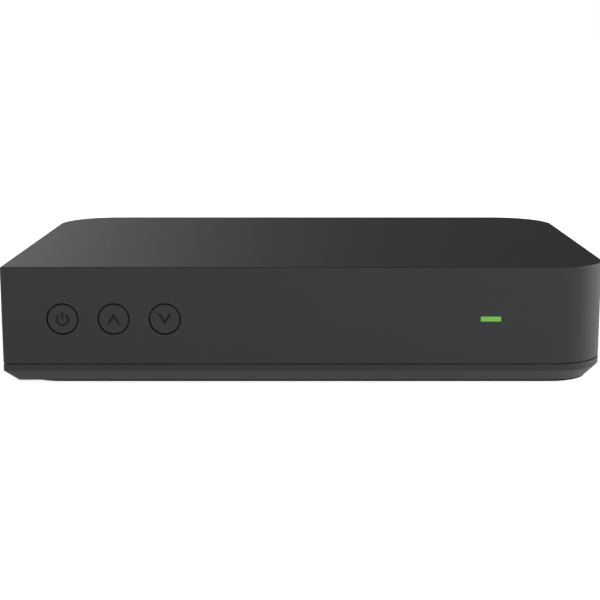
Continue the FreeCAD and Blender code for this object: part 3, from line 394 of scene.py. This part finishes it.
def slot_materials():
    """One finished material for each of the record's slots, and the buttons' ink."""
    materials = {
        "indicator_lens": lit_window("indicator_lit"),
        "symbol": finished_material("symbol_ink", INK, SYMBOL_GREY, INK_ROUGHNESS),
    }
    for slot, (name, kind, colour, roughness) in SLOT_FINISHES.items():
        stretch = (1.0, DRAWN_MARKS.get(slot, 1.0), 1.0)
        materials[slot] = finished_material(name, kind, colour, roughness, stretch)
    return materials


def dress_nodes(materials):
    """Give every carried-over node the material of its slot."""
    for part in RECORD["subparts"]:
        mesh = NODES[part["node"]].data
        mesh.materials.clear()
        mesh.materials.append(materials[part["material_slot"]])


# Surfaces worked out on grids
def middle(low, high):
    """Middle of a box, as x, y and z."""
    return (low.x + high.x) / 2.0, (low.y + high.y) / 2.0, (low.z + high.z) / 2.0


def ring_angles(columns):
    """Angles of a ring's columns, spread evenly over a full turn."""
    return FULL_TURN * np.arange(columns) / columns


def quarter_turn(steps):
    """Angles from 0 to a quarter turn, both ends among them."""
    return np.linspace(0.0, FULL_TURN / 4.0, steps)


def grid_faces(rows, columns, closed_columns=True):
    """Quads between neighbours of a rows x columns grid, wrapped round where the columns close."""
    down = columns * np.arange(rows - 1)[:, None]
    across = np.arange(columns if closed_columns else columns - 1)[None, :]
    following = (across + 1) % columns
    corners = (down + across, down + following, down + columns + following, down + columns + across)
    return np.stack(np.broadcast_arrays(*corners), axis=-1).reshape(-1, 4)


def make_piece(name, points, faces, material, smooth=True):
    """A piece from its points and faces, at the origin, with one material."""
    mesh = bpy.data.meshes.new(name)
    mesh.from_pydata(points.tolist(), [], faces)
    mesh.update()
    mesh.polygons.foreach_set("use_smooth", np.full(len(mesh.polygons), smooth))
    mesh.materials.append(material)
    piece = bpy.data.objects.new(name, mesh)
    bpy.context.scene.collection.objects.link(piece)
    return piece


def turned_piece(name, line, profile, material, columns, wave=None):
    """A turned piece about a line along +Y, whose x and z are given.

    Point (i, j) lies at radius r_i and angle 2 pi j / columns from the line, and at y_i along it.
    The profile is a closed loop of (y, r) pairs, and the last ring joins the first. Where wave is
    given, wave(y, angle, radius) is added to each radius.
    """
    along, radius = np.array(profile, float).T[:, :, None]
    angles = ring_angles(columns)
    along, radius, turn = np.broadcast_arrays(along, radius, angles)
    if wave is not None:
        radius = radius + wave(along, turn, radius)
    points = np.stack([line[0] + radius * np.cos(turn), along, line[1] + radius * np.sin(turn)], axis=-1)
    faces = grid_faces(len(profile) + 1, columns) % (len(profile) * columns)
    return make_piece(name, points.reshape(-1, 3), faces[:, ::-1].tolist(), material)


def closed_rows(points):
    """Points, quads and caps of a closed body, from rows of points that run round it.

    Quads join each row to the next, and a flat cap closes the first and the last of them. The rows
    run counterclockwise for someone who looks from the last row back at the first.
    """
    rows, columns = points.shape[:2]
    ring = np.arange(columns)
    caps = np.stack([ring[::-1], ring + (rows - 1) * columns])
    return points.reshape(-1, 3), grid_faces(rows, columns), caps


def upright_solid(radius, height, angles):
    """A closed body round a line along +Z.

    Point (i, j) lies at radius r_i, angle t_j and height z_i. The rings run from the middle of the
    underside out, up and in to the middle of the top.
    """
    radius, height, turn = np.broadcast_arrays(radius, height, angles)
    return closed_rows(np.stack([radius * np.cos(turn), radius * np.sin(turn), height], axis=-1))


def join_solids(solids):
    """Points and faces of several closed bodies, as those of one mesh."""
    all_faces = []
    offset = 0
    for points, quads, caps in solids:
        all_faces.extend((quads + offset).tolist())
        all_faces.extend((caps + offset).tolist())
        offset += len(points)
    return np.vstack([points for points, _, _ in solids]), all_faces


def sharpen(piece):
    """Keep the edges sharp where two faces turn by more than the sharp turn."""
    piece.data.set_sharp_from_angle(angle=SHARP_TURN)


# Threaded aerial input and its nut
def thread_wave(along, angle, radius):
    """Change of the radius that cuts a right-hand thread where the radius is the thread's.

    The depth's share is a triangle wave of y / pitch + angle / 2 pi, from 0 at the crest to a half
    at the root, times the steepness, and cut off at 1, which gives the root its flat.
    """
    phase = np.mod(along / THREAD_PITCH + angle / FULL_TURN, 1.0)
    share = np.clip(THREAD_STEEPNESS * (0.5 - np.abs(phase - 0.5)), 0.0, 1.0)
    return np.where(np.isclose(radius, THREAD_RADIUS), -THREAD_DEPTH * share, 0.0)


def aerial_connector(materials):
    """Connector with its thread cut from the nut to the lead-in, and its bore open to the inside."""
    low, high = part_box("aerial_connector")
    _, nut_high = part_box("aerial_nut")
    panel_low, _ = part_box("rear_panel")
    x, _, z = middle(low, high)
    start = nut_high.y
    end = high.y
    turns = int(round((end - start) / THREAD_PITCH))
    profile = [
        (low.y, BORE_RADIUS),
        (low.y, SHOULDER_RADIUS),
        (panel_low.y, SHOULDER_RADIUS),
        (panel_low.y, ROOT_RADIUS),
        (start - THREAD_START_GAP, ROOT_RADIUS),
        *((y, THREAD_RADIUS) for y in np.linspace(start, end - LEAD_IN, turns * THREAD_STEPS)),
        (end, THREAD_RADIUS - THREAD_DEPTH),
        (end, BORE_RADIUS + BORE_EDGE),
        (end - BORE_EDGE_DEPTH, BORE_RADIUS),
    ]
    material = materials["nickel_plate"]
    piece = turned_piece("aerial_connector_threaded", (x, z), profile, material, THREAD_COLUMNS, thread_wave)
    sharpen(piece)
    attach(piece, "case")
    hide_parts("aerial_connector")


def aerial_nut(materials):
    """Hexagonal nut with its outer corners turned off and its outer face dished to the bore.

    The radius is half the flats' distance over the cosine of the angle from the nearest flat's
    middle, cut off by a cone at the outer face.
    """
    low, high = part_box("aerial_nut")
    x, _, z = middle(low, high)
    half_flats = (high.z - low.z) / 2.0
    bore = ROOT_RADIUS + NUT_CLEARANCE
    blank = 2.0 * half_flats

    def hexagon(along, angle, radius):
        """Change of the blank's radius that leaves the six flats and the cone."""
        from_flat = np.mod(angle, SIXTH_TURN) - SIXTH_TURN / 2.0
        flats = half_flats / np.cos(from_flat)
        cone = half_flats * NUT_CONE_SHARE + (high.y - along) / math.tan(NUT_CONE_ANGLE)
        return np.where(np.isclose(radius, blank), np.minimum(flats, cone) - radius, 0.0)

    chamfer = np.linspace(high.y - NUT_CHAMFER_DEPTH, high.y, NUT_CHAMFER_ROWS)
    profile = [(low.y, bore), (low.y, blank), *((y, blank) for y in chamfer), (high.y - NUT_DISH, bore)]
    material = materials["nickel_plate"]
    piece = turned_piece("aerial_nut_chamfered", (x, z), profile, material, NUT_COLUMNS, hexagon)
    sharpen(piece)
    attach(piece, "case")
    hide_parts("aerial_nut")


# Plated rings in the round sockets
def mount_line(name):
    """The x and z of a mount of the record whose line runs along y."""
    x, _, z = next(mount["pos_m"] for mount in RECORD["mounts"] if mount["name"] == name)
    return x, z


def rounded_ring(radii, start, end):
    """Section of a ring between two radii, with the two edges of its outer face rounded off."""
    inner, outer = radii
    turn = quarter_turn(RING_EDGE_STEPS)
    sine = RING_EDGE * np.sin(turn)
    cosine = RING_EDGE * np.cos(turn)
    rim = np.column_stack([end - RING_EDGE + sine, outer - RING_EDGE + cosine])
    mouth = np.column_stack([end - RING_EDGE + cosine, inner + RING_EDGE - sine])
    return [(start, inner), (start, outer), *rim, *mouth]


def socket_rings(materials):
    """A ring just proud of the jack's mouth and a sleeve inside the audio socket's insulator."""
    _, jack_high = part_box("audio_video_jack")
    plug_low, plug_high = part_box("audio_socket_insulator")
    mouth = jack_high.y
    ring = rounded_ring(JACK_RING_RADII, mouth - JACK_RING_DEPTH, mouth + JACK_RING_PROUD)
    sleeve = rounded_ring(SLEEVE_RADII, plug_low.y, plug_high.y - SLEEVE_INSET)
    rows = (
        ("jack_mouth_ring", mount_line("audio_video_jack"), ring),
        ("audio_sleeve", mount_line("audio_collar"), sleeve),
    )
    for name, line, profile in rows:
        piece = turned_piece(name, line, profile, materials["nickel_plate"], RING_COLUMNS)
        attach(piece, "case")


# Feet
def rubber_feet(materials):
    """Moulded feet: a disc with a rounded rim and a shallow ring groove underneath."""
    turn = quarter_turn(FOOT_EDGE_STEPS)
    for node in ("foot_front_left", "foot_front_right", "foot_rear_left", "foot_rear_right"):
        low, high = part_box(node)
        x, y, _ = middle(low, high)
        radius = (high.x - low.x) / 2.0
        rim_radius = radius - FOOT_EDGE + FOOT_EDGE * np.sin(turn)
        rim_height = FOOT_EDGE - FOOT_EDGE * np.cos(turn)
        rings = np.vstack([
            (CAP_RADIUS, 0.0),
            FOOT_GROOVE,
            np.column_stack([rim_radius, rim_height]),
            (radius, high.z),
            (CAP_RADIUS, high.z),
        ])
        foot = upright_solid(rings[:, :1], rings[:, 1:], ring_angles(FOOT_COLUMNS))
        points, faces = join_solids([foot])
        piece = make_piece(f"{node}_moulded", points + (x, y, 0.0), faces, materials["foot_rubber"])
        sharpen(piece)
        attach(piece, "case")
        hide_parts(node)


# Housing screws
def screw_head(height, angles):
    """Radius and height of the rings of a pan head with a cross recess, its seat at height 0.

    The head's surface lies below the seat by height (1 - (r / radius)^4)^(1/4), less the recess. The
    recess's depth grows from 0 at the edge of either arm of the cross to the full depth inside it,
    in proportion to the distance from that edge, over the taper's width.
    """
    radius, angle = np.meshgrid(HEAD_SHARES * HEAD_RADIUS, angles, indexing="ij")
    across = np.abs(radius * np.cos(angle))
    along = np.abs(radius * np.sin(angle))
    dome = height * (1.0 - (radius / HEAD_RADIUS) ** HEAD_POWER) ** (1.0 / HEAD_POWER)
    in_arm = np.clip((CROSS_HALF_WIDTH - np.minimum(across, along)) / CROSS_TAPER, 0.0, 1.0)
    in_reach = np.clip((CROSS_REACH - np.maximum(across, along)) / CROSS_TAPER, 0.0, 1.0)
    return radius, CROSS_DEPTH * in_arm * in_reach - dome


def housing_screws(materials):
    """Pan heads with a cross recess, on plain shanks, heads down in the tray's wells."""
    low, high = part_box("housing_screws")
    seat = low.z + HEAD_HEIGHT
    tip = high.z - seat
    angles = ring_angles(SCREW_COLUMNS)
    radius, height = screw_head(HEAD_HEIGHT, angles)
    shank = np.array([(SHANK_RADIUS, 0.0), (SHANK_RADIUS, tip - SHANK_TIP), (CAP_RADIUS, tip)])
    shank_radius, shank_height = np.repeat(shank.T[:, :, None], SCREW_COLUMNS, axis=2)
    points, quads, caps = upright_solid(
        np.vstack([radius, shank_radius]), np.vstack([height, shank_height]), angles
    )
    places = [
        (x, y, seat)
        for x in (low.x + HEAD_RADIUS, high.x - HEAD_RADIUS)
        for y in (low.y + HEAD_RADIUS, high.y - HEAD_RADIUS)
    ]
    points, faces = join_solids([(points + place, quads, caps) for place in places])
    piece = make_piece("housing_screws_cross", points, faces, materials["screw_steel"])
    sharpen(piece)
    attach(piece, "case")
    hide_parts("housing_screws")


# Printed button symbols
def ribbon(centre_line, width):
    """Two edges of a stroke: the line moved half its width along its own normals, left and right."""
    ahead = np.gradient(centre_line, axis=0)
    ahead /= np.linalg.norm(ahead, axis=1, keepdims=True)
    aside = np.stack([-ahead[:, 1], ahead[:, 0]], axis=1) * width / 2.0
    return centre_line + aside, centre_line - aside


def power_strokes():
    """An open ring, drawn from right of the top round to left of it, and a bar through the gap."""
    turn = np.linspace(POWER_GAP, FULL_TURN - POWER_GAP, POWER_STEPS)
    ring = np.column_stack([POWER_RADIUS * np.sin(turn), POWER_RADIUS * np.cos(turn) - POWER_DROP])
    bar = np.column_stack([np.zeros(BAR_STEPS), np.linspace(BAR_TOP, BAR_FOOT, BAR_STEPS)])
    return [ribbon(ring, POWER_STROKE), ribbon(bar, BAR_STROKE)]


def chevron_strokes(sign):
    """Two straight legs of even width that meet in a mitre and end level, pointing up or down.

    Both edges are z = rise - 2 rise |x| / reach, the inner one moved in by the leg's level width.
    """
    inner_reach = CHEVRON_REACH - CHEVRON_LEG
    inner_top = CHEVRON_RISE - 2.0 * CHEVRON_RISE * CHEVRON_LEG / CHEVRON_REACH
    outer, inner = (
        np.array([(-reach, -CHEVRON_RISE), (0.0, top), (reach, -CHEVRON_RISE)]) * (1.0, sign)
        for reach, top in ((CHEVRON_REACH, CHEVRON_RISE), (inner_reach, inner_top))
    )
    return [(outer, inner)] if sign > 0.0 else [(inner, outer)]


def stroke_solid(left, right, centre):
    """A thin closed plate on the front face, from the left and right edge of a stroke on it."""
    front = FRONT_FACE - SYMBOL_THICKNESS
    back = FRONT_FACE + SYMBOL_SINK
    edges = [
        np.column_stack([centre[0] + edge[:, 0], np.full(len(edge), depth), centre[1] + edge[:, 1]])
        for edge, depth in ((left, front), (right, front), (right, back), (left, back))
    ]
    return closed_rows(np.stack(edges, axis=1))


def button_symbols(materials):
    """Each button's symbol, printed on the middle of its face and moving with it."""
    strokes = (power_strokes(), chevron_strokes(1.0), chevron_strokes(-1.0))
    for name, outlines in zip(BUTTON_NAMES, strokes):
        x, _, z = middle(*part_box(f"{name}_button_cap"))
        points, faces = join_solids([stroke_solid(left, right, (x, z)) for left, right in outlines])
        piece = make_piece(f"{name}_button_symbol", points, faces, materials["symbol"], smooth=False)
        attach(piece, f"{name}_button")


# Contacts in the sockets
def contact_solid(x, width, along, face, sign):
    """A flat strip on a tongue's face, which dips into the tongue at its leading end."""
    out = face + sign * np.array([CONTACT_PROUD, CONTACT_PROUD, -CONTACT_PROUD])
    deep = out - sign * 2.0 * CONTACT_PROUD
    first = x - sign * width / 2.0
    second = x + sign * width / 2.0
    edges = [
        np.column_stack([np.full(len(along), across), along, height])
        for across, height in ((first, out), (second, out), (second, deep), (first, deep))
    ]
    return closed_rows(np.stack(edges, axis=1))


def contact_row(name, node, count, share, material):
    """Gilt strips side by side on a tongue's upper and lower faces."""
    low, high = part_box(node)
    x, _, _ = middle(low, high)
    pitch = (high.x - low.x) * share / count
    along = np.array([low.y + CONTACT_INSET, high.y - 2.0 * CONTACT_INSET, high.y - CONTACT_INSET])
    places = x + (np.arange(count) - (count - 1) / 2.0) * pitch
    points, faces = join_solids([
        contact_solid(place, pitch * CONTACT_SHARE, along, face, sign)
        for place in places
        for sign, face in ((1.0, high.z), (-1.0, low.z))
    ])
    piece = make_piece(name, points, faces, material, smooth=False)
    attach(piece, "case")


# Floor, backdrop, lamps and camera
def join_values(nodes, links, operation, first, second):
    """Join two values, each a socket or a number, by one operation."""
    joint = nodes.new("ShaderNodeMath")
    joint.operation = operation
    for socket, value in zip(joint.inputs, (first, second)):
        if isinstance(value, bpy.types.NodeSocket):
            links.new(value, socket)
        else:
            socket.default_value = value
    return joint.outputs[0]


def smooth_span(nodes, links, value, source, target):
    """Carry a value from one span to another along a smooth step."""
    span = nodes.new("ShaderNodeMapRange")
    span.interpolation_type = "SMOOTHSTEP"
    for socket, end in zip(("From Min", "From Max", "To Min", "To Max"), (*source, *target)):
        span.inputs[socket].default_value = end
    links.new(value, span.inputs["Value"])
    return span.outputs["Result"]


def build_world():
    """White where the camera, gloss or glass looks past the floor, and a dim even light elsewhere."""
    world = bpy.data.worlds.new("studio")
    bpy.context.scene.world = world
    world.use_nodes = True
    nodes = world.node_tree.nodes
    links = world.node_tree.links
    background = nodes["Background"]
    background.inputs["Color"].default_value = (*WHITE, 1.0)
    path = nodes.new("ShaderNodeLightPath")
    sight = path.outputs["Is Camera Ray"]
    for name in ("Is Glossy Ray", "Is Transmission Ray"):
        sight = join_values(nodes, links, "MAXIMUM", sight, path.outputs[name])
    strength = nodes.new("ShaderNodeMapRange")
    strength.inputs["To Min"].default_value = AMBIENT
    strength.inputs["To Max"].default_value = 1.0
    links.new(sight, strength.inputs["Value"])
    links.new(strength.outputs["Result"], background.inputs["Strength"])


def object_axes(nodes, links):
    """Object coordinates as three sockets named X, Y and Z."""
    place = nodes.new("ShaderNodeTexCoord")
    axes = nodes.new("ShaderNodeSeparateXYZ")
    links.new(place.outputs["Object"], axes.inputs["Vector"])
    return axes.outputs


def distance_from_tray(nodes, links):
    """Distance outside the tray's flat underside, a rectangle with its corners rounded.

    With q the place's distance past the corner's centre along each axis, and 0 before it, the
    distance is the length of q less the corner's radius.
    """
    axes = object_axes(nodes, links)
    squares = []
    for axis, low, high in (("X", TRAY_LOW.x, TRAY_HIGH.x), ("Y", TRAY_LOW.y, TRAY_HIGH.y)):
        offset = join_values(nodes, links, "SUBTRACT", axes[axis], (low + high) / 2.0)
        size = join_values(nodes, links, "ABSOLUTE", offset, 0.0)
        straight = (high - low) / 2.0 - TRAY_BEVEL - UNDERSIDE_CORNER
        past = join_values(nodes, links, "SUBTRACT", size, straight)
        past = join_values(nodes, links, "MAXIMUM", past, 0.0)
        squares.append(join_values(nodes, links, "MULTIPLY", past, past))
    total = join_values(nodes, links, "ADD", *squares)
    length = join_values(nodes, links, "POWER", total, 0.5)
    return join_values(nodes, links, "SUBTRACT", length, UNDERSIDE_CORNER)


def clear_from_below(material, shader):
    """Let a view from under the floor pass through it to the object's underside."""
    nodes = material.node_tree.nodes
    links = material.node_tree.links
    side = nodes.new("ShaderNodeNewGeometry")
    clear = nodes.new("ShaderNodeBsdfTransparent")
    mix = nodes.new("ShaderNodeMixShader")
    sources = (side.outputs["Backfacing"], shader.outputs["BSDF"], clear.outputs["BSDF"])
    for source, socket in zip(sources, mix.inputs):
        links.new(source, socket)
    links.new(mix.outputs["Shader"], nodes["Material Output"].inputs["Surface"])


def floor_material():
    """Pale floor with the object's shadow, a painted shadow under it, and whitening away from its foot."""
    material, shader = start_material("floor_pale_painted_shadow", (FLOOR_GREY, FLOOR_GREY, FLOOR_GREY), FLOOR_SOCKETS)
    nodes = material.node_tree.nodes
    links = material.node_tree.links
    nearest = distance_from_tray(nodes, links)
    # Painted shadow: the floor goes dark under the tray and fades out at its edge
    shade = smooth_span(nodes, links, nearest, PAINTED_SHADOW_SPAN, (PAINTED_SHADOW_GREY, FLOOR_GREY))
    links.new(shade, shader.inputs["Base Color"])
    # Camera-ray lifts grow away from the tray, leaving painted shade near its foot
    lift = 0.0
    for start, end, strength in FLOOR_LIFTS:
        step = smooth_span(nodes, links, nearest, (start, end), (0.0, strength))
        lift = join_values(nodes, links, "ADD", lift, step)
    path = nodes.new("ShaderNodeLightPath").outputs
    gloss = join_values(nodes, links, "MAXIMUM", path["Is Glossy Ray"], path["Is Transmission Ray"])
    direct = join_values(nodes, links, "MULTIPLY", lift, path["Is Camera Ray"])
    mirrored = join_values(nodes, links, "MULTIPLY", gloss, FLOOR_IN_GLOSS)
    strength = join_values(nodes, links, "ADD", direct, mirrored)
    links.new(strength, shader.inputs["Emission Strength"])
    clear_from_below(material, shader)
    return material


def build_floor():
    """A wide square floor under the feet."""
    corners = np.array([(-1.0, -1.0, 0.0), (1.0, -1.0, 0.0), (1.0, 1.0, 0.0), (-1.0, 1.0, 0.0)])
    floor = make_piece("studio_floor", corners * FLOOR_HALF, [(0, 1, 2, 3)], floor_material(), smooth=False)


def card_shade():
    """Light from the card: bright at its lower left, dark towards the right and overhead."""
    material = bpy.data.materials.new("card_shade")
    material.use_nodes = True
    nodes = material.node_tree.nodes
    links = material.node_tree.links
    nodes.clear()
    axes = object_axes(nodes, links)
    strength = CARD_BRIGHT
    for axis, ends in CARD_FADES.items():
        fade = smooth_span(nodes, links, axes[axis], ends, CARD_SHARES)
        strength = join_values(nodes, links, "MULTIPLY", fade, strength)
    emission = nodes.new("ShaderNodeEmission")
    output = nodes.new("ShaderNodeOutputMaterial")
    links.new(strength, emission.inputs["Strength"])
    links.new(emission.outputs["Emission"], output.inputs["Surface"])
    return material


def build_card():
    """A wide card behind and above the object, which only reflections see.

    Its section is an ellipse's arc, y = reach cos t and z = height sin t, carried along x.
    """
    arc = np.radians(np.linspace(0.0, CARD_ARC_DEGREES, CARD_STEPS))
    y = CARD_REACH * np.cos(arc)
    z = CARD_HEIGHT * np.sin(arc) + CARD_CLEARANCE
    sides = (-CARD_HALF_WIDTH, CARD_HALF_WIDTH)
    points = np.stack([np.column_stack([np.full(CARD_STEPS, x), y, z]) for x in sides], axis=1)
    faces = grid_faces(CARD_STEPS, len(sides), closed_columns=False)
    card = make_piece("studio_card", points.reshape(-1, 3), faces.tolist(), card_shade())
    card.visible_camera = False
    card.visible_diffuse = False
    card.visible_shadow = False


def build_lamps():
    """Square area lamps, each turned from its place to what it is aimed at."""
    for name, place, target, size, power in LAMPS:
        lamp = bpy.data.lights.new(name, "AREA")
        lamp.size = size
        lamp.energy = power
        holder = bpy.data.objects.new(name, lamp)
        bpy.context.scene.collection.objects.link(holder)
        away = np.array(place) - np.array(target)
        flat = math.hypot(away[0], away[1])
        holder.location = place
        holder.rotation_euler = (math.atan2(flat, away[2]), 0.0, math.atan2(away[0], -away[1]))


def build_camera():
    """The photograph's camera: level from side to side, and tilted down by its pitch."""
    data = bpy.data.cameras.new("photo_camera")
    data.sensor_width = SENSOR_MM
    data.sensor_fit = "HORIZONTAL"
    data.lens = SENSOR_MM * FOCAL_PIXELS / PHOTO_PIXELS
    data.shift_x = (PHOTO_PIXELS / 2.0 - OPTICAL_CENTRE_PIXEL) / PHOTO_PIXELS
    data.clip_start = CAMERA_CLIP_START
    camera = bpy.data.objects.new("photo_camera", data)
    bpy.context.scene.collection.objects.link(camera)
    camera.location = (CAMERA_SIDE, FRONT_FACE - CAMERA_DISTANCE, TOP_FACE + CAMERA_RISE)
    camera.rotation_euler = (FULL_TURN / 4.0 - CAMERA_PITCH, 0.0, 0.0)
    bpy.context.scene.camera = camera


def main():
    """Dress the nodes, add the scene's own pieces, and set the studio round them."""
    materials = slot_materials()
    dress_nodes(materials)
    aerial_connector(materials)
    aerial_nut(materials)
    socket_rings(materials)
    rubber_feet(materials)
    housing_screws(materials)
    button_symbols(materials)
    for name, node, count, share in CONTACT_ROWS:
        contact_row(name, node, count, share, materials["gilt_contact"])
    build_world()
    build_floor()
    build_card()
    build_lamps()
    build_camera()
    bpy.context.scene.view_settings.view_transform = "Standard"


main()
